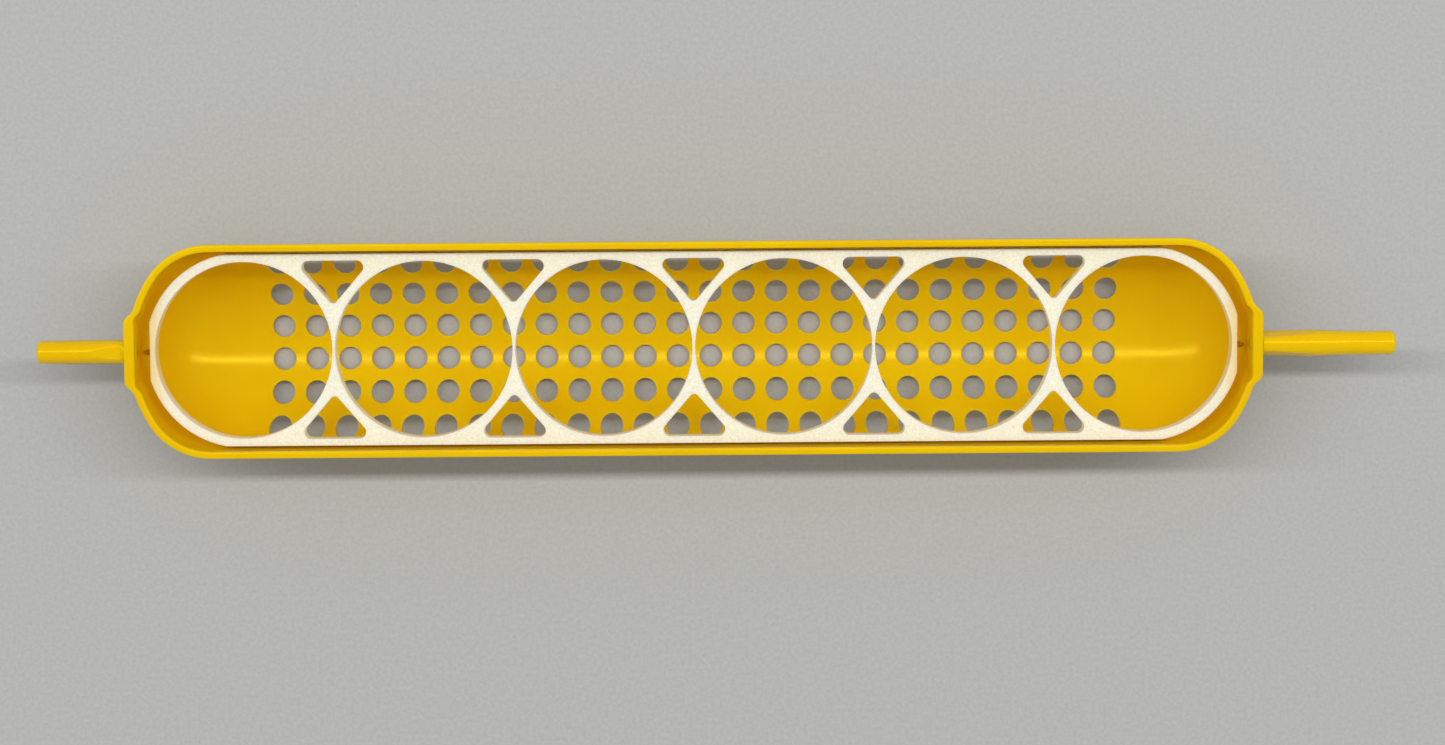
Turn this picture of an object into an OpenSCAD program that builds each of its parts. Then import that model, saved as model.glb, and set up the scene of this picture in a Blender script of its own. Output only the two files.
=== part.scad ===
// Queen cage: a perforated half capsule with a drop-in plate of round queen cells,
// and a spindle through a boss at each end. The long spindle points along +X, and
// the trough opens upwards. The origin is under the middle of the whole cage.

/* [Trough] */
// Length of the capsule over its two domed ends
body_len = 142; // [100:1:200]
// Width of the capsule, twice its outer radius
body_w = 26.9; // [20:0.1:40]
// Thickness of the moulded wall
wall = 0.9; // [0.6:0.05:1.6]
// Height of the straight wall above the round part
collar_h = 2; // [1:0.1:6]
// How much larger than the capsule's own radius the shallow crown of each domed end is
crown_extra = 3.95; // [1:0.05:10]
// Radius of the knuckle that joins the crown to the barrel
knuckle_r = 9; // [4:0.1:9.4]

/* [Vent holes] */
// Diameter of one vent hole
hole_d = 2.9; // [2:0.1:3.4]
// Distance between neighbouring holes along the trough
hole_pitch_x = 4.25; // [4:0.05:8]
// Distance between neighbouring rows across the trough, seen from above
hole_pitch_y = 4.23; // [4:0.01:8]
// Plain strip of barrel left at each end of the rows
hole_end_margin = 6; // [1:0.5:20]
// Plain strip left between the last row and the inside of the wall, seen from above
hole_side_margin = 0.4; // [0.3:0.1:3]

/* [End bosses] */
// Distance that a boss stands out past the dome
boss_out = 0.4; // [0.2:0.05:3]
// Width of the boss at its flat outer face
boss_face_w = 8.4; // [6:0.1:10]
// Width of the boss where it leaves the dome
boss_root_w = 10.8; // [9:0.1:12]
// Width of the flat pocket inside each end
pocket_w = 8.8; // [6:0.1:10]

/* [Cell plate] */
// Number of round queen cells
cells = 6; // [2:1:8]
// Thickness of the plate
plate_t = 2.6; // [1.6:0.1:4]
// Depth of the plate's underside below the centre of the round part
seat_depth = 2.95; // [2.75:0.05:7]
// Gap between the plate's long edges and the wall that they rest on
plate_gap = 0.06; // [0.05:0.01:0.5]
// Gap between the plate's ends and the flat pockets
plate_end_gap = 1.6; // [0.3:0.05:4]
// Width of the band left along each long edge
edge_band = 0.88; // [0.6:0.02:3]
// Width of the ring left at each end
end_band = 0.65; // [0.6:0.05:3]
// Extra width of the ring at the plate's four shoulders
shoulder = 0.55; // [0:0.05:1]
// Thickness of the web between two cells at its thinnest
web = 0.35; // [0.3:0.05:2]
// Width of the rib between a window's corners and the cells beside it
window_rib = 1.3; // [0.8:0.1:3]
// Radius of a window's two outer corners
window_corner_r = 0.85; // [0.3:0.05:1.5]
// Radius of a window's inner corner
window_tip_r = 0.6; // [0.3:0.1:1.5]

/* [Spindles] */
// Length of the short spindle outside its boss
short_len = 11.1; // [8:0.1:25]
// Diameter of the short spindle
short_d = 2.85; // [2.4:0.05:4]
// Length of the long spindle outside its boss
long_len = 16.8; // [14:0.1:30]
// Diameter of the long spindle's cylindrical outer end
long_d = 3; // [2.6:0.05:4]
// Length of the long spindle's cylindrical outer end
long_journal = 6; // [3:0.5:8]
// Diameter of the long spindle at its root
long_root_d = 3.5; // [3:0.1:5]
// Length of the short spindle's relieved root
short_relief = 4; // [2:0.5:6]
// Length of the long spindle's relieved root
long_relief = 7.3; // [3:0.1:8]
// Depth of the flats that relieve a root
relief_cut = 0.35; // [0.1:0.05:0.5]
// Diameter of the shank inside the boss
shank_d = 2; // [1.4:0.1:2.2]
// Gap between the shank and its bore
shank_gap = 0.03; // [0.02:0.01:0.1]
// Rounding at the free end of a spindle
tip_round = 0.5; // [0.2:0.05:1]

/* [Hidden] */
// Overshoot that keeps cuts clean
past = 1;
// Unrelieved collar that a spindle keeps against its boss
relief_start = 0.4;
// Straight steps that stand for the two arcs of a domed end
crown_steps = 8;
knuckle_steps = 12;

// The capsule: its middle is off the origin, because the spindles differ in length
body_r = body_w / 2;
inner_r = body_r - wall;
axis_z = body_r;
half_len = body_len / 2;
crown_r = body_r + crown_extra;
crown_x = half_len - crown_r;
barrel_x = crown_x + sqrt(pow(crown_r - knuckle_r, 2) - pow(body_r - knuckle_r, 2));
crown_angle = atan2(barrel_x - crown_x, body_r - knuckle_r);
face_x = half_len + boss_out;
pocket_x = half_len - wall;
mid_x = (short_len - long_len) / 2;
bore_d = shank_d + 2 * shank_gap;

// As many holes as fit between the plain strips
columns = floor((2 * (barrel_x - hole_end_margin) - hole_d) / hole_pitch_x) + 1;
rows = floor((2 * (inner_r - hole_side_margin) - hole_d) / hole_pitch_y) + 1;

// The plate's lower long edges rest on the round wall, and the largest cells that
// leave its bands and webs decide the spacing
plate_hw = sqrt(inner_r * inner_r - seat_depth * seat_depth) - plate_gap;
plate_hl = pocket_x - plate_end_gap;
cell_fit_w = plate_hw - edge_band;
cell_fit_l = (plate_hl - end_band - (cells - 1) * web / 2) / cells;
cell_r = min(cell_fit_w, cell_fit_l);
end_cell_x = plate_hl - end_band - cell_r;
cell_pitch = 2 * end_cell_x / (cells - 1);

// A window's corners keep one rib's width from the cells on both sides
corner_y = plate_hw - edge_band - window_corner_r;
corner_x = cell_pitch / 2 - sqrt(max(0, pow(cell_r + window_rib + window_corner_r, 2) - pow(corner_y, 2)));
tip_reach = pow(cell_r + window_rib + window_tip_r, 2) - pow(cell_pitch / 2, 2);
tip_y = max(window_tip_r + window_rib / 2, sqrt(max(0, tip_reach)));
side_angle = atan2(corner_y - tip_y, corner_x)
  - acos((window_tip_r - window_corner_r) / norm([corner_x, corner_y - tip_y]));

// Moves what is drawn around the trough's own middle to its place in the frame
module placed() {
  translate([mid_x, 0, axis_z]) children();
}

// Draws its children once at each end, the second time mirrored
module both_ends() {
  children();
  mirror([1, 0, 0]) children();
}

// Points of an arc from angle a0 to a1, both included
function arc(cx, cy, r, a0, a1, steps) =
  [for (i = [0 : steps]) let (a = a0 + (a1 - a0) * i / steps) [cx + r * cos(a), cy + r * sin(a)]];

function without_first(points) = [for (i = [1 : len(points) - 1]) points[i]];

// Outline of half the capsule, as distance from the axis against distance along it,
// drawn in by inset: straight barrel, then the knuckle's arc, then the crown's arc
function half_outline(inset) = concat(
  [[0, 0], [body_r - inset, 0]],
  arc(body_r - knuckle_r, barrel_x, knuckle_r - inset, 0, crown_angle, knuckle_steps),
  without_first(arc(0, crown_x, crown_r - inset, crown_angle, 90, crown_steps))
);

// The whole capsule drawn in by inset: round below the axis, straight up to top above it
module capsule(inset, top) {
  both_ends() {
    rotate([0, 90, 0]) rotate([0, 0, -90])
      rotate_extrude(angle = 180, $fn = 160) polygon(half_outline(inset));
    for (side = [0, 1]) mirror([0, side, 0])
      linear_extrude(height = top) polygon([for (p = half_outline(inset)) [p[1], p[0]]]);
  }
}

// Rows of round holes through the bottom, all drilled straight down
module vent_holes() {
  for (i = [0 : columns - 1], j = [0 : rows - 1]) {
    x = (i - (columns - 1) / 2) * hole_pitch_x;
    y = (j - (rows - 1) / 2) * hole_pitch_y;
    translate([x, y, -body_r - past]) cylinder(h = body_r + past, d = hole_d, $fn = 24);
  }
}

// Block at the +X end that carries a spindle: square above the axis and half a cone below it
module boss() {
  boss_len = face_x - pocket_x;
  linear_extrude(height = collar_h) polygon([
    [pocket_x, -boss_root_w / 2], [face_x, -boss_face_w / 2],
    [face_x, boss_face_w / 2], [pocket_x, boss_root_w / 2]
  ]);
  difference() {
    translate([pocket_x, 0, 0]) rotate([0, 90, 0])
      cylinder(h = boss_len, d1 = boss_root_w, d2 = boss_face_w, $fn = 96);
    translate([pocket_x - past, -boss_root_w, 0]) cube([boss_len + 2 * past, 2 * boss_root_w, boss_root_w]);
  }
}

// Flat-ended pocket inside the +X end, and the bore through the boss
module pocket_and_bore() {
  pocket_len = pocket_x - barrel_x;
  translate([barrel_x, -pocket_w / 2, 0]) cube([pocket_len, pocket_w, collar_h + past]);
  translate([barrel_x, 0, 0]) rotate([0, 90, 0]) cylinder(h = pocket_len, d = pocket_w, $fn = 96);
  translate([pocket_x - past, 0, 0]) rotate([0, 90, 0])
    cylinder(h = face_x - pocket_x + 2 * past, d = bore_d, $fn = 48);
}

module perforated_trough() {
  color("gold") placed() difference() {
    union() {
      capsule(0, collar_h);
      both_ends() boss();
    }
    capsule(wall, collar_h + past);
    vent_holes();
    both_ends() pocket_and_bore();
  }
}

// Plate seen from above: straight long edges, a round end at each end cell, cut flat at the tip
module plate_outline() {
  intersection() {
    square([2 * plate_hl, 2 * plate_hw], center = true);
    union() {
      square([2 * end_cell_x, 2 * plate_hw], center = true);
      for (end = [-1, 1]) translate([end * end_cell_x, 0])
        circle(r = cell_r + end_band + shoulder, $fn = 180);
    }
  }
}

// Three-cornered window between two cells, with its flat side towards the long edge
module window() {
  polygon(concat(
    arc(corner_x, corner_y, window_corner_r, side_angle, 90, 6),
    arc(-corner_x, corner_y, window_corner_r, 90, 180 - side_angle, 6),
    arc(0, tip_y, window_tip_r, 180 - side_angle, 360 + side_angle, 6)
  ));
}

module cell_plate() {
  color("ivory") placed() translate([0, 0, -seat_depth]) difference() {
    linear_extrude(height = plate_t) plate_outline();
    for (i = [0 : cells - 1]) translate([i * cell_pitch - end_cell_x, 0, -past])
      cylinder(h = plate_t + 2 * past, r = cell_r, $fn = 128);
    for (i = [0 : cells - 2], side = [0, 1])
      translate([(i + 0.5) * cell_pitch - end_cell_x, 0, -past]) mirror([0, side, 0])
        linear_extrude(height = plate_t + 2 * past) window();
  }
}

// Shank through the boss, flush with the pocket inside the trough
module shank() {
  translate([pocket_x, 0, 0]) rotate([0, 90, 0])
    cylinder(h = face_x - pocket_x, d = shank_d, $fn = 48);
}

// Profile of a turned pin: root_r at the root, end_r from straight_z on, with a rounded end
function turned(root_r, end_r, straight_z, len, corner) = concat(
  [[0, 0], [root_r, 0]],
  straight_z > 0 ? [[end_r, straight_z]] : [],
  arc(end_r - corner, len - corner, corner, 0, 90, 6),
  [[0, len]]
);

// Flats cut around a spindle's root, the first at angle first and one every step degrees
module flats(len, d, first, step) {
  for (a = [first : step : 359]) rotate([a, 0, 0])
    translate([face_x + relief_start, -d, d / 2 - relief_cut]) cube([len - relief_start, 2 * d, d]);
}

module short_spindle() {
  color("gold") placed() mirror([1, 0, 0]) difference() {
    union() {
      shank();
      translate([face_x, 0, 0]) rotate([0, 90, 0]) rotate_extrude($fn = 64)
        polygon(turned(short_d / 2, short_d / 2, 0, short_len, tip_round));
    }
    flats(short_relief, short_d, 0, 180);
  }
}

module long_spindle() {
  color("gold") placed() difference() {
    union() {
      shank();
      translate([face_x, 0, 0]) rotate([0, 90, 0]) rotate_extrude($fn = 64)
        polygon(turned(long_root_d / 2, long_d / 2, long_len - long_journal, long_len, tip_round));
    }
    flats(long_relief, long_root_d, 45, 90);
  }
}

perforated_trough();
cell_plate();
short_spindle();
long_spindle();
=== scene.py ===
"""A queen cage lying open: a perforated yellow trough, a loose plate of round cells
resting inside it, and a spindle on a flat boss at each end."""

import bmesh
import bpy
import numpy as np
from mathutils import Euler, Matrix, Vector
from mathutils.geometry import tessellate_polygon


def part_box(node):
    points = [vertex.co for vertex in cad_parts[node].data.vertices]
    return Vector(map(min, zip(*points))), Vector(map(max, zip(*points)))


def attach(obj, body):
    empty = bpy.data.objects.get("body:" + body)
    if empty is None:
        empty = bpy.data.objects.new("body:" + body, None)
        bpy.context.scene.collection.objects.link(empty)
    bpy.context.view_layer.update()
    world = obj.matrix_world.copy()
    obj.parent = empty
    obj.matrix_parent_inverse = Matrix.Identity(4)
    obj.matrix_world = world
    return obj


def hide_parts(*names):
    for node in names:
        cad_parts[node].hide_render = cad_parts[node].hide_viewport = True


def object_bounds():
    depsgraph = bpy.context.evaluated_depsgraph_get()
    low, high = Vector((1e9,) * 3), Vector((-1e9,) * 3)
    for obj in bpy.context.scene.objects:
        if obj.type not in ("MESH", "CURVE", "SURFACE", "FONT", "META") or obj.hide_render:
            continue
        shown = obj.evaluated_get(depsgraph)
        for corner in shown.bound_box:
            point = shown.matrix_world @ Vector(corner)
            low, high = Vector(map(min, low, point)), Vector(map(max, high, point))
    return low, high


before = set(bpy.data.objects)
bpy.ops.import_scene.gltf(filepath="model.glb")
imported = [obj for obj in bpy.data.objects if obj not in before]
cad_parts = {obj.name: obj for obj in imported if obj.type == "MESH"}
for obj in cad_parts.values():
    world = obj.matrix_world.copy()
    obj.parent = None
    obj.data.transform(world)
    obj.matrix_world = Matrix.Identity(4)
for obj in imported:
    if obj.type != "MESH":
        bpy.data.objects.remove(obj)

cad_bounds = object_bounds()
mm = 0.001


# ---------------------------------------------------------------- perforated trough
# Half a capsule moulded in one shot of glossy yellow polypropylene, with a flat rim, a
# flat boss at each end for a spindle, and rows of round vent holes drilled straight down
# by the mould's pins. The two domed ends stay closed.

trough_low, trough_high = (np.array(corner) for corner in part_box("perforated_trough"))
middle_x = (trough_low[0] + trough_high[0]) / 2
body_r = (trough_high[1] - trough_low[1]) / 2
axis_z = trough_low[2] + body_r
collar = trough_high[2] - axis_z
face_x = (trough_high[0] - trough_low[0]) / 2

wall = 0.9 * mm
inner_r = body_r - wall
boss_out = 0.4 * mm
pocket_x = face_x - boss_out - wall
boss_foot_r = 5.1 * mm
boss_edge_r = 4.1 * mm
pocket_foot_r = 4.95 * mm
pocket_edge_r = 4.3 * mm
crown_r = body_r + 3.95 * mm
knuckle_r = 9 * mm
crown_x = face_x - boss_out - crown_r
barrel_x = crown_x + np.sqrt((crown_r - knuckle_r) ** 2 - (body_r - knuckle_r) ** 2)
knuckle_turn = np.arctan2(barrel_x - crown_x, body_r - knuckle_r)

hole_r = 1.45 * mm
hole_edge = 0.11 * mm
mouth_ring = 0.15
pitch_x = 4.25 * mm
pitch_y = 4.23 * mm
columns = 26
rows = 6
field_end = columns / 2 * pitch_x
field_side = inner_r - 0.25 * mm

rim_round = 0.22 * mm
hub_r = 3 * mm
hub_top = 1.4 * mm
shank_r = 1 * mm
bore_r = shank_r + 0.03 * mm
bore_ring = 1.05
weld = 1e-4 * mm


def spread(values):
    """Positions along one side of a square at equal angles as seen from its middle,
    which is the tangent of each angle: -1 to 1, closer together near the middle."""
    return np.tan(np.radians(values))


side_steps = spread(np.linspace(-45, 45, 9))


def eased(start, corner, end, steps=4):
    """A corner rounded by a parabola: each point is the weighted mean of start, corner
    and end, with weights (1 - t) squared, 2 t (1 - t) and t squared."""
    t = np.linspace(0, 1, steps)[:, None]
    return (1 - t) ** 2 * start + 2 * t * (1 - t) * corner + t**2 * end


def end_outline(inset, foot_r, edge_r, flat_x):
    """Distance along the cage against distance from its axis, from the last column of
    holes to the hub of the boss: straight barrel, the knuckle's arc, the crown's arc in to
    foot_r, then a flank to edge_r on the flat face at flat_x, with both corners eased."""
    ease = 0.5 * mm
    straight = np.linspace(field_end, barrel_x, 4)[:-1]
    barrel = np.stack([straight, np.full(3, body_r - inset)], axis=1)
    turn = np.linspace(0, knuckle_turn, 13)[:-1]
    r = knuckle_r - inset
    knuckle = np.stack([barrel_x + r * np.sin(turn), body_r - knuckle_r + r * np.cos(turn)], axis=1)
    r = crown_r - inset
    turn = np.linspace(knuckle_turn, np.arccos((foot_r + ease) / r), 6)
    crown = np.stack([crown_x + r * np.sin(turn), r * np.cos(turn)], axis=1)
    foot = np.array([crown_x + np.sqrt(r**2 - foot_r**2), foot_r])
    edge = np.array([flat_x, edge_r])
    flank = (edge - foot) / np.linalg.norm(edge - foot)
    return np.concatenate([
        barrel, knuckle, crown[:-1],
        eased(crown[-1], foot, foot + ease * flank),
        eased(edge - ease * flank, edge, edge - [0, ease]),
        [[flat_x, hub_r]],
    ])


def hub_outline(flat_x):
    """The flat face from the hub's radius in to the axis."""
    return np.stack([np.full(4, flat_x), np.linspace(hub_r, 0, 4)], axis=1)


def shell(inner, outer, path):
    """Points of the wall: stations along the outlines against a path around its section.
    The path's share runs from 0 on the inner outline to 1 on the outer one, its turn is
    the angle from straight down, and its lift is the height above the axis."""
    share, turn, lift = path
    along = inner[:, :1] * (1 - share) + outer[:, :1] * share
    reach = inner[:, 1:] * (1 - share) + outer[:, 1:] * share
    return np.stack([along, reach * np.sin(turn), lift - reach * np.cos(turn)], axis=-1)


def quads(grid):
    """The four corners of each small face between neighbouring points of a grid."""
    corners = [grid[..., :-1, :-1, :], grid[..., 1:, :-1, :], grid[..., 1:, 1:, :], grid[..., :-1, 1:, :]]
    return np.stack(corners, axis=-2).reshape(-1, 4, 3)


def mirrored(corners, *signs):
    """The faces and their copies mirrored by each triple of signs, turned right side out."""
    copies = [corners]
    for sign in signs:
        turned = corners * np.array(sign)
        copies.append(turned[:, ::-1] if np.prod(sign) < 0 else turned)
    return np.concatenate(copies)


def piece(name, corners, material, body, node, flat=None):
    """Makes a closed mesh from faces given by their corners, joining corners that meet
    and pointing every face outwards. The faces in the slice flat stay unsmoothed."""
    spots = np.round(corners.reshape(-1, 3) / weld).astype(np.int64)
    _, first, index = np.unique(spots, axis=0, return_index=True, return_inverse=True)
    faces = [list(dict.fromkeys(face)) for face in index.reshape(-1, corners.shape[1]).tolist()]
    mesh = bpy.data.meshes.new(name)
    mesh.from_pydata(corners.reshape(-1, 3)[first], [], faces)
    smooth = np.ones(len(mesh.polygons), bool)
    if flat is not None:
        smooth[flat] = False
    mesh.polygons.foreach_set("use_smooth", smooth)
    shape = bmesh.new()
    shape.from_mesh(mesh)
    bmesh.ops.recalc_face_normals(shape, faces=shape.faces)
    shape.to_mesh(mesh)
    shape.free()
    mesh.materials.append(material)
    made = bpy.data.objects.new(name, mesh)
    bpy.context.scene.collection.objects.link(made)
    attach(made, body)
    if node:
        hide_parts(node)
    return made


class Value:
    """One socket of a material. Arithmetic on it adds Math nodes to the material."""

    def __init__(self, tree, socket):
        self.tree = tree
        self.socket = socket

    def make(self, kind, settings=(), inputs=(), out=0):
        """Adds a node of this kind, with its settings made first and then its inputs set
        or linked, and gives back one of its outputs."""
        node = self.tree.nodes.new(kind)
        for name, setting in dict(settings).items():
            setattr(node, name, setting)
        for name, value in dict(inputs).items():
            if isinstance(value, Value):
                self.tree.links.new(value.socket, node.inputs[name])
            else:
                node.inputs[name].default_value = value
        return Value(self.tree, node.outputs[out] if len(node.outputs) else None)

    def math(self, operation, first, second):
        return self.make("ShaderNodeMath", {"operation": operation}, {0: first, 1: second})

    def __add__(self, other):
        return self.math("ADD", self, other)

    __radd__ = __add__

    def __sub__(self, other):
        return self.math("SUBTRACT", self, other)

    def __rsub__(self, other):
        return self.math("SUBTRACT", other, self)

    def __mul__(self, other):
        return self.math("MULTIPLY", self, other)

    __rmul__ = __mul__

    def above(self, low, high):
        """0 below low, 1 above high, and a smooth step between."""
        return self.make("ShaderNodeMapRange", {"interpolation_type": "SMOOTHSTEP"},
                         {"Value": self, "From Min": low, "From Max": high})

    def blend(self, first, second):
        """The first colour where this is 0 and the second where it is 1."""
        return self.make("ShaderNodeMix", {"data_type": "RGBA"}, {0: self, 6: first, 7: second}, out=2)

    def noise(self, size, detail=2, roughness=0.5):
        """Cloudy noise on these coordinates, with clouds of about this size."""
        return self.make("ShaderNodeTexNoise", {}, {
            "Vector": self, "Scale": 1 / size, "Detail": detail, "Roughness": roughness})


def new_material(name):
    """An empty material, and its object coordinates as a Value."""
    material = bpy.data.materials.new(name)
    material.use_nodes = True
    material.node_tree.nodes.clear()
    start = Value(material.node_tree, None)
    return material, start.make("ShaderNodeTexCoord", out="Object")


def finish(place, height, depth, **inputs):
    """Ends a material in a Principled surface whose bump follows height, scaled to depth."""
    bump = place.make("ShaderNodeBump", {}, {"Height": height, "Distance": depth, "Strength": 1.0})
    surface = place.make("ShaderNodeBsdfPrincipled", {}, {"Normal": bump, **inputs})
    place.make("ShaderNodeOutputMaterial", {}, {"Surface": surface})


def moulded_yellow():
    """Glossy moulded polypropylene: faint flow clouds in the colour, a fine orange-peel
    skin, and a gloss that dulls a little in patches."""
    material, place = new_material("moulded yellow")
    flow = place.noise(18 * mm, 3)
    peel = place.noise(0.55 * mm, 3)
    haze = place.noise(4 * mm, 2)
    colour = flow.above(0.3, 0.7).blend((0.800, 0.495, 0.0016, 1), (0.840, 0.540, 0.0022, 1))
    finish(place, peel + 4 * haze, 0.004 * mm, **{
        "Base Color": colour,
        "Roughness": 0.12 + 0.12 * haze + 0.05 * peel,
        "IOR": 1.49,
        "Specular Tint": (1.0, 0.80, 0.06, 1),
        "Subsurface Weight": 0.55,
        "Subsurface Radius": (1.0, 0.6, 0.04),
        "Subsurface Scale": 1.6 * mm,
    })
    return material


yellow = moulded_yellow()

row_middles = (np.arange(rows // 2) + 0.5) * pitch_y
row_outer = np.minimum(row_middles + pitch_y / 2, field_side) - row_middles
row_reach = np.where(side_steps < 0, pitch_y / 2, row_outer[:, None])
row_edges = row_reach * side_steps + row_middles[:, None]
field_y = np.concatenate([[0], row_edges[:, 1:].ravel()])
column_middles = (np.arange(columns // 2) + 0.5) * pitch_x
field_x = np.concatenate([[0], (column_middles[:, None] + pitch_x / 2 * side_steps[1:]).ravel()])


def side_path():
    """Path around the wall's section from the edge of the holes inside, up the straight
    wall, over the rounded rim and down to the edge of the holes outside."""
    round_off = np.radians(np.linspace(0, 90, 5))
    rim_share = rim_round / wall * (1 - np.cos(round_off))
    rim_lift = collar - rim_round * (1 - np.sin(round_off))
    up = [hub_top / 2, hub_top]
    inside = np.linspace(np.arcsin(field_side / inner_r), np.pi / 2, 6)
    outside = np.linspace(np.arcsin(field_side / body_r), np.pi / 2, 6)
    share = np.concatenate([np.zeros(8), rim_share, 1 - rim_share[::-1], np.ones(8)])
    turn = np.concatenate([inside, np.full(14, np.pi / 2), outside[::-1]])
    lift = np.concatenate([np.zeros(6), up, rim_lift, rim_lift[::-1], up[::-1], np.zeros(6)])
    return np.stack([share, turn, lift])


def bottom_path(share, r):
    """Path across the bottom, level with the points that the rows of holes use."""
    turn = np.arcsin(field_y / r)
    return np.stack([np.full(len(turn), share), turn, np.zeros(len(turn))])


def holed_field():
    """Faces of every holed cell: rings that grow from a square cell's edge on the inner
    surface to the hole's rounded edge, go down the hole, and open out again on the outer
    surface. Heights follow the circle of each surface, so the holes are round from above."""
    angle = np.radians(np.arange(0, 361, 11.25))
    circle = np.stack([np.cos(angle), np.sin(angle)], axis=-1)
    square = circle / np.abs(circle).max(axis=1, keepdims=True)
    middles = np.stack(np.meshgrid(column_middles, row_middles), axis=-1)[..., None, :]
    reach_y = np.where(square[:, 1] > 0, row_outer[:, None, None], pitch_y / 2)
    reach = np.stack([np.full_like(reach_y, pitch_x / 2), reach_y], axis=-1)
    border = middles + reach * square
    mouth = middles + (hole_r + hole_edge) * circle + 0 * border
    bore = middles + hole_r * circle + 0 * border

    def on_surface(plan, r, drop=0):
        return np.concatenate([plan, -np.sqrt(r**2 - plan[..., 1:] ** 2) + drop], axis=-1)

    rings = []
    for r, drop in ((inner_r, -hole_edge), (body_r, hole_edge)):
        lip, corner, throat = on_surface(mouth, r), on_surface(bore, r), on_surface(bore, r, drop)
        side = [on_surface(border, r), on_surface(mouth + mouth_ring * (border - mouth), r), lip]
        side += [(1 - t) ** 2 * lip + 2 * t * (1 - t) * corner + t**2 * throat for t in (1 / 3, 2 / 3)]
        side.append(throat)
        rings += side if r == inner_r else side[::-1]
    return quads(np.stack(rings, axis=2))


def bore_faces():
    """Faces around the bore of a boss: from the hub's outline in to the bore on both flat
    faces, and along the bore between them. A ring just outside the bore keeps the flat
    faces evenly shaded."""
    section = side_path()
    rings = []
    for flat_x, share, r in ((pocket_x, 0, inner_r), (face_x, 1, body_r)):
        below = bottom_path(share, r)[1]
        beside = (section if share == 0 else section[:, ::-1])[:, 1:8]
        turn = np.concatenate([below, beside[1]])
        lift = np.concatenate([0 * below, beside[2]])
        hub = np.stack([hub_r * np.sin(turn), lift - hub_r * np.cos(turn)], axis=-1)
        top = np.stack([np.linspace(hub_r, 0, 4)[1:], np.full(3, hub_top)], axis=-1)
        loop = np.concatenate([hub, top])
        bore = bore_r * loop / np.linalg.norm(loop, axis=1, keepdims=True)
        grid = np.stack([loop, bore_ring * bore, bore])
        rings.append(np.concatenate([np.full(grid.shape[:2] + (1,), flat_x), grid], axis=-1))
    return np.concatenate([quads(rings[0]), quads(np.stack([rings[0][-1], rings[1][-1]])), quads(rings[1])])


def trough_faces():
    """One quarter of the trough from its parts, mirrored to all four."""
    field = np.stack([field_x, np.full(len(field_x), inner_r)], axis=1)
    field_outer = np.stack([field_x, np.full(len(field_x), body_r)], axis=1)
    over = side_path()
    around = np.concatenate([bottom_path(0, inner_r), over[:, 1:-1], bottom_path(1, body_r)[:, ::-1]], axis=1)
    above_hub = over[:, over[2] >= hub_top - weld]
    inside = end_outline(wall, pocket_foot_r, pocket_edge_r, pocket_x)
    outside = end_outline(0, boss_foot_r, boss_edge_r, face_x)
    quarter = np.concatenate([
        holed_field(),
        quads(shell(field, field_outer, over)),
        quads(shell(inside, outside, around)),
        quads(shell(hub_outline(pocket_x), hub_outline(face_x), above_hub)),
        bore_faces(),
    ])
    return mirrored(quarter, (-1, 1, 1), (1, -1, 1), (-1, -1, 1)) + [middle_x, 0, axis_z]


piece("trough", trough_faces(), yellow, "cage", "perforated_trough")


# ---------------------------------------------------------------- cell plate
# A flat plate printed in off-white filament, loose in the trough with its two lower long
# edges on the round wall. It has six round cells and, between each two, a three-cornered
# window on both sides. Its faces show the grain of the bed, its cut walls the layers.

plate_low, plate_high = (np.array(corner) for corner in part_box("cell_plate"))
plate_hl = (plate_high[0] - plate_low[0]) / 2
plate_hw = (plate_high[1] - plate_low[1]) / 2
cells = 6
edge_band = 0.88 * mm
end_band = 0.65 * mm
shoulder = 0.55 * mm
web = 0.35 * mm
window_rib = 1.3 * mm
window_corner_r = 0.85 * mm
window_tip_r = 0.6 * mm
plate_edge = 0.07 * mm
cell_r = min(plate_hw - edge_band, (plate_hl - end_band - (cells - 1) * web / 2) / cells)
end_cell_x = plate_hl - end_band - cell_r
cell_pitch = 2 * end_cell_x / (cells - 1)


def arc(middle, r, start, end, steps):
    """Points of an arc about middle, with angles in degrees from start to end."""
    turn = np.radians(np.linspace(start, end, steps))
    return np.array(middle) + r * np.stack([np.cos(turn), np.sin(turn)], axis=-1)


def plate_outline():
    """The plate from above: straight long edges, an arc about each end cell, and a short
    flat at each tip where the arc is cut off."""
    shoulder_r = cell_r + end_band + shoulder
    flat = np.degrees(np.arccos((plate_hl - end_cell_x) / shoulder_r))
    side = np.degrees(np.arcsin(plate_hw / shoulder_r))
    bend = arc((end_cell_x, 0), shoulder_r, flat, side, 25)
    quarter = np.concatenate([bend, [[0.5 * end_cell_x, plate_hw]]])
    half = np.concatenate([quarter, (quarter * [-1, 1])[::-1]])
    return np.concatenate([half, -half])


def window_outline(side):
    """A rounded triangle whose three corners keep one rib's width from the cells on both
    sides: two corners by the long edge and one towards the middle of the plate."""
    corner_y = plate_hw - edge_band - window_corner_r
    corner_x = cell_pitch / 2 - np.sqrt((cell_r + window_rib + window_corner_r) ** 2 - corner_y**2)
    tip_y = np.sqrt((cell_r + window_rib + window_tip_r) ** 2 - (cell_pitch / 2) ** 2)
    lean = np.degrees(np.arctan2(corner_y - tip_y, corner_x) - np.arccos(
        (window_tip_r - window_corner_r) / np.hypot(corner_x, corner_y - tip_y)))
    outline = np.concatenate([
        arc((corner_x, corner_y), window_corner_r, lean, 90, 9),
        arc((-corner_x, corner_y), window_corner_r, 90, 180 - lean, 9),
        arc((0, tip_y), window_tip_r, 180 - lean, 360 + lean, 9),
    ])
    return outline if side > 0 else (outline * [1, -1])[::-1]


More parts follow.
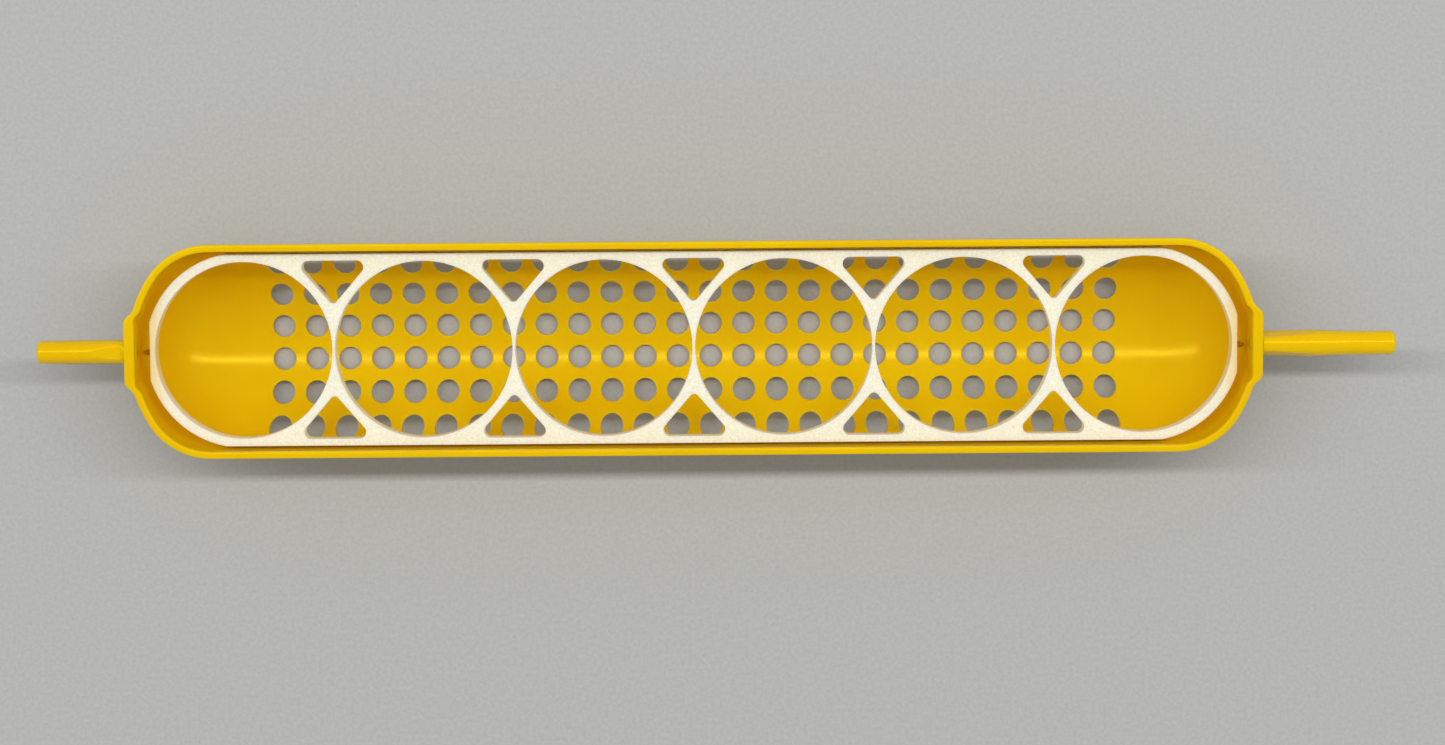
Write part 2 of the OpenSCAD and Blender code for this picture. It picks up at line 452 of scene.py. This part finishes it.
def edge_rings(outline, into):
    """The plate's edge profile carried along a closed outline: each ring is the outline
    moved into the plate by the profile's inset, at the profile's height."""
    before = outline - np.roll(outline, 1, axis=0)
    after = np.roll(outline, -1, axis=0) - outline
    normals = [np.stack([step[:, 1], -step[:, 0]], axis=1) / np.linalg.norm(step, axis=1, keepdims=True)
               for step in (before, after)]
    out = normals[0] + normals[1]
    out /= (out * normals[0]).sum(axis=1, keepdims=True)
    round_off = np.radians(np.linspace(0, 90, 5))
    inset = plate_edge * (1 - np.sin(round_off))
    rise = plate_edge * (1 - np.cos(round_off))
    inset = np.concatenate([inset, inset[::-1]])
    height = np.concatenate([plate_low[2] + rise, plate_high[2] - rise[::-1]])
    plan = outline[None] - into * inset[:, None, None] * out[None]
    level = np.broadcast_to(height[:, None, None], plan.shape[:2] + (1,))
    return np.concatenate([plan, level], axis=-1)


def plate_faces():
    """Triangles of the plate: the walls of every outline, then the two flat faces filled
    between the outlines' end rings."""
    circle = arc((0, 0), cell_r, 0, 360, 129)[:-1]
    cell_xs = np.linspace(-end_cell_x, end_cell_x, cells)
    web_xs = (cell_xs[1:] + cell_xs[:-1]) / 2
    loops = [edge_rings(plate_outline(), 1)]
    loops += [edge_rings(circle + [x, 0], -1) for x in cell_xs]
    loops += [edge_rings(window_outline(side) + [x, 0], -1) for x in web_xs for side in (1, -1)]
    walls = []
    for rings in loops:
        four = quads(np.concatenate([rings, rings[:, :1]], axis=1))
        walls += [four[:, [0, 1, 2]], four[:, [0, 2, 3]]]
    faces = []
    for level in (0, -1):
        rims = [rings[level] for rings in loops]
        corners = np.array(tessellate_polygon([[Vector(point) for point in rim] for rim in rims]))
        faces.append(np.concatenate(rims)[corners])
    walls, faces = np.concatenate(walls), np.concatenate(faces)
    return np.concatenate([walls, faces]) + [middle_x, 0, 0], slice(len(walls), None)


def printed_ivory():
    """Matt printed filament: a fine bright-and-dull grain with a few glints, faint strokes
    of the nozzle across the flat faces, layer lines up the cut walls, and a yellow cast
    painted at both tips as painted reflected light, for the yellow light that the trough's
    walls throw onto the plate and shine through it."""
    material, place = new_material("printed ivory")
    grain = place.noise(0.30 * mm, 4, 0.75)
    blotch = place.noise(5 * mm, 2)
    stroke = place.make("ShaderNodeTexWave", {"bands_direction": "DIAGONAL"}, {
        "Vector": place.make("ShaderNodeMapping", {}, {"Vector": place, "Scale": (1, 1, 0)}),
        "Scale": 0.314 / (0.45 * mm), "Distortion": 0.6, "Detail": 1.0, "Detail Scale": 2.0})
    layers = place.make("ShaderNodeTexWave", {"bands_direction": "Z"}, {
        "Vector": place, "Scale": 0.314 / (0.2 * mm), "Distortion": 0.3})
    glint = grain.above(0.60, 0.72)
    colour = grain.above(0.30, 0.66).blend((0.840, 0.785, 0.605, 1), (0.985, 0.950, 0.775, 1))
    colour = (0.12 * blotch).blend(colour, (0.90, 0.80, 0.54, 1))
    from_middle = place.make("ShaderNodeSeparateXYZ", {}, {"Vector": place}, out="X") - middle_x
    # Painted reflected light: a yellow cast near both tips, standing in for the yellow light that the
    # trough's walls throw onto the plate and shine through it.
    painted_bounce = (from_middle * from_middle).above((plate_hl - 2.5 * mm) ** 2, (plate_hl - 0.1 * mm) ** 2)
    colour = (0.75 * painted_bounce).blend(colour, (0.92, 0.66, 0.26, 1))
    finish(place, grain + 0.25 * layers + 0.10 * stroke, 0.035 * mm, **{
        "Base Color": colour,
        "Roughness": 0.58 - 0.30 * glint,
        "IOR": 1.46,
        "Subsurface Weight": 0.60,
        "Subsurface Radius": (1.0, 0.85, 0.5),
        "Subsurface Scale": 1.6 * mm,
    })
    return material


ivory = printed_ivory()
plate_corners, plate_flats = plate_faces()
piece("cell_plate_printed", plate_corners, ivory, "plate", "cell_plate", plate_flats)


# ---------------------------------------------------------------- spindles
# Two round pins of the same yellow plastic, each on the face of a boss, with a shank
# through it and a line of flash on both sides. The short one has a flat above and below
# its root. The long one tapers, and two sloping flats leave a strip on top of its root.

short_low, short_high = (np.array(corner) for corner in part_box("short_spindle"))
long_low, long_high = (np.array(corner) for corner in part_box("long_spindle"))
short_r = (short_high[2] - short_low[2]) / 2
long_root_r = (long_high[2] - long_low[2]) / 2
long_r = 1.5 * mm
long_journal = 6 * mm
tip_round = 0.5 * mm
flash = 0.09 * mm
flash_len = 6 * mm
root_clear = 0.3 * mm
cap_step = 0.96
cap_ring = 0.95


def turned_pin(end, length, root_r, end_r, straight, flat_turns, flat_depth, flat_len):
    """A turned pin about the cage's axis, as stations along it against the angle around
    it. Its radius tapers from root_r to end_r over the first part and rounds off at the
    tip; each flat caps the radius at its depth below the surface over the cosine of the
    angle from the flat's middle, and fades out along the pin. A ring at the end of the
    shank, at these shares of its length and radius, keeps its flat cap evenly shaded."""
    shank = pocket_x - face_x
    body = np.concatenate([[0, 0.12 * mm], np.linspace(0.4 * mm, flat_len + 1 * mm, 28),
                           np.linspace(flat_len + 1 * mm, length - tip_round, 14)[1:]])
    tip = np.radians(np.linspace(0, 90, 9))[1:]
    tip_along = length - tip_round * (1 - np.sin(tip))
    along = np.concatenate([[shank, shank, cap_step * shank, 0], body, tip_along, [length]])
    taper = np.clip(body / straight, 0, 1) if straight > 0 else np.ones(len(body))
    body_rs = root_r + (end_r - root_r) * taper
    body_rs[0] -= 0.1 * mm
    tip_rs = end_r - tip_round * (1 - np.cos(tip))
    reach = np.concatenate([[0, cap_ring * shank_r, shank_r, shank_r], body_rs, tip_rs, [0]])
    turn = np.radians(np.arange(0, 361, 3.75))
    fade = np.clip(1 - along / flat_len, 0, 1) ** 0.8 * (along > root_clear)
    r = np.broadcast_to(reach[:, None], (len(along), len(turn))).copy()
    for middle in np.radians(flat_turns):
        across = np.cos(turn - middle)
        cap = (reach - flat_depth * fade)[:, None] / np.where(across > 0.1, across, 0.1)
        r = np.where((across > 0.1) & (fade[:, None] > 0), np.minimum(r, cap), r)
    seam = np.abs(np.cos(turn)) < 0.02
    on_body = (along > root_clear) & (along < length - tip_round - root_clear)
    seam_fade = on_body * np.clip(2 - along / flash_len, 0, 1)
    r = r + flash * seam * seam_fade[:, None]
    spine = np.broadcast_to(end * (face_x + along)[:, None], r.shape)
    points = np.stack([spine, r * np.sin(turn), r * np.cos(turn)], axis=-1)
    return quads(points) + [middle_x, 0, axis_z]


short_len = trough_low[0] - short_low[0]
piece("short_spindle_turned",
      turned_pin(-1, short_len, short_r, short_r, 0, (0, 180), 0.35 * mm, 4.2 * mm),
      yellow, "cage", "short_spindle")
long_len = long_high[0] - trough_high[0]
piece("long_spindle_turned",
      turned_pin(1, long_len, long_root_r, long_r, long_len - long_journal, (72, 288), 0.5 * mm, 7 * mm),
      yellow, "cage", "long_spindle")


# ---------------------------------------------------------------- gate marks, painted shade
# The stub that each of the mould's two gates leaves inside the ends, on the ledge under
# the flat pocket: a small wedge, point towards the boss, left from the same shot. Its dark
# brown is painted shade, standing in for the shadow in the recess there.

gate_half = 0.42 * mm
gate_y = -0.5 * mm
gate_len = 0.95 * mm
gate_drop = 4.2 * mm
gate_slope = 0.75 * mm


def gate_faces(end):
    """A wedge with rounded flanks: its half width grows with the square root of the
    distance from its point, and its section is an ellipse half as high as it is wide. The
    deep end closes to a point."""
    along, across = np.meshgrid(np.linspace(0, 1, 13), np.linspace(0, 360, 25), indexing="ij")
    half = gate_half * np.sqrt(along) * np.where(along == 1, 0, 1)
    turn = np.radians(across)
    ledge = gate_drop + along * gate_slope
    points = np.stack([
        end * (pocket_x - 0.02 * mm - along * gate_len),
        gate_y + half * np.cos(turn),
        -ledge + 0.5 * half * np.sin(turn),
    ], axis=-1)
    return quads(points) + [middle_x, 0, axis_z]


def painted_gate_shade():
    """Painted shade: dark brown on the yellow resin, standing in for the shadow in the recess by each gate,
    darker in patches.
    """
    material, place = new_material("painted gate shade")
    stain = place.noise(0.4 * mm, 3)
    # Painted shade: these two dark browns stand in for the shadow in the recess by each gate.
    finish(place, stain, 0.02 * mm, **{
        "Base Color": stain.above(0.3, 0.7).blend((0.360, 0.135, 0.003, 1), (0.560, 0.260, 0.003, 1)),
        "Roughness": 0.45 + 0.1 * stain,
        "Specular Tint": (1.0, 0.60, 0.10, 1),
    })
    return material


gate_shade_paint = painted_gate_shade()
piece("gate_shade_left", gate_faces(-1), gate_shade_paint, "cage", None)
piece("gate_shade_right", gate_faces(1), gate_shade_paint, "cage", None)


# ---------------------------------------------------------------- floor, light and camera
# A plain pale sheet under the cage, one long strip lamp high on the far side with an even
# fill all round, and the camera almost straight above, a little towards the far side.


def pale_floor():
    """A wide flat sheet at the height the cage stands on, with a very faint fibre."""
    half = 1.5
    mesh = bpy.data.meshes.new("floor")
    z = cad_bounds[0][2]
    corners = [(-half, -half, z), (half, -half, z), (half, half, z), (-half, half, z)]
    mesh.from_pydata(corners, [], [(0, 1, 2, 3)])
    material, place = new_material("pale floor")
    fibre = place.noise(0.5 * mm, 4, 0.6)
    finish(place, fibre, 0.03 * mm, **{
        "Base Color": fibre.above(0.2, 0.8).blend((0.420, 0.420, 0.402, 1), (0.480, 0.480, 0.460, 1)),
        "Roughness": 0.9,
    })
    mesh.materials.append(material)
    floor = bpy.data.objects.new("floor", mesh)
    bpy.context.scene.collection.objects.link(floor)


def strip_lamp(name, tilt, distance, length, width, watts):
    """A long strip lamp above the cage and along it, tilted off the vertical towards +Y."""
    lamp = bpy.data.lights.new(name, "AREA")
    lamp.shape = "RECTANGLE"
    lamp.size = length
    lamp.size_y = width
    lamp.energy = watts
    holder = bpy.data.objects.new(name, lamp)
    holder.rotation_euler = Euler((-tilt, 0, 0))
    holder.location = holder.rotation_euler.to_matrix() @ Vector((0, 0, distance))
    bpy.context.scene.collection.objects.link(holder)


pale_floor()
strip_lamp("key", np.radians(15), 0.8, 2.4, 0.06, 7.6)

world = bpy.data.worlds.new("even fill")
world.use_nodes = True
world.node_tree.nodes["Background"].inputs["Color"].default_value = (0.95, 0.97, 1.0, 1)
world.node_tree.nodes["Background"].inputs["Strength"].default_value = 0.50
bpy.context.scene.world = world
bpy.context.scene.view_settings.view_transform = "Standard"

camera = bpy.data.objects.new("camera", bpy.data.cameras.new("camera"))
camera.data.sensor_width = 36
camera.data.lens = 79.0
camera.data.clip_start = 0.01
camera.rotation_mode = "ZYX"
camera.rotation_euler = Euler(np.radians((-5.4, -0.19, -0.43)), "ZYX")
look = camera.rotation_euler.to_matrix()
camera.location = Vector((middle_x, 0, 0.45 * mm)) + look @ Vector((3.66, -4.36, 412.06)) * mm
bpy.context.scene.collection.objects.link(camera)
bpy.context.scene.camera = camera
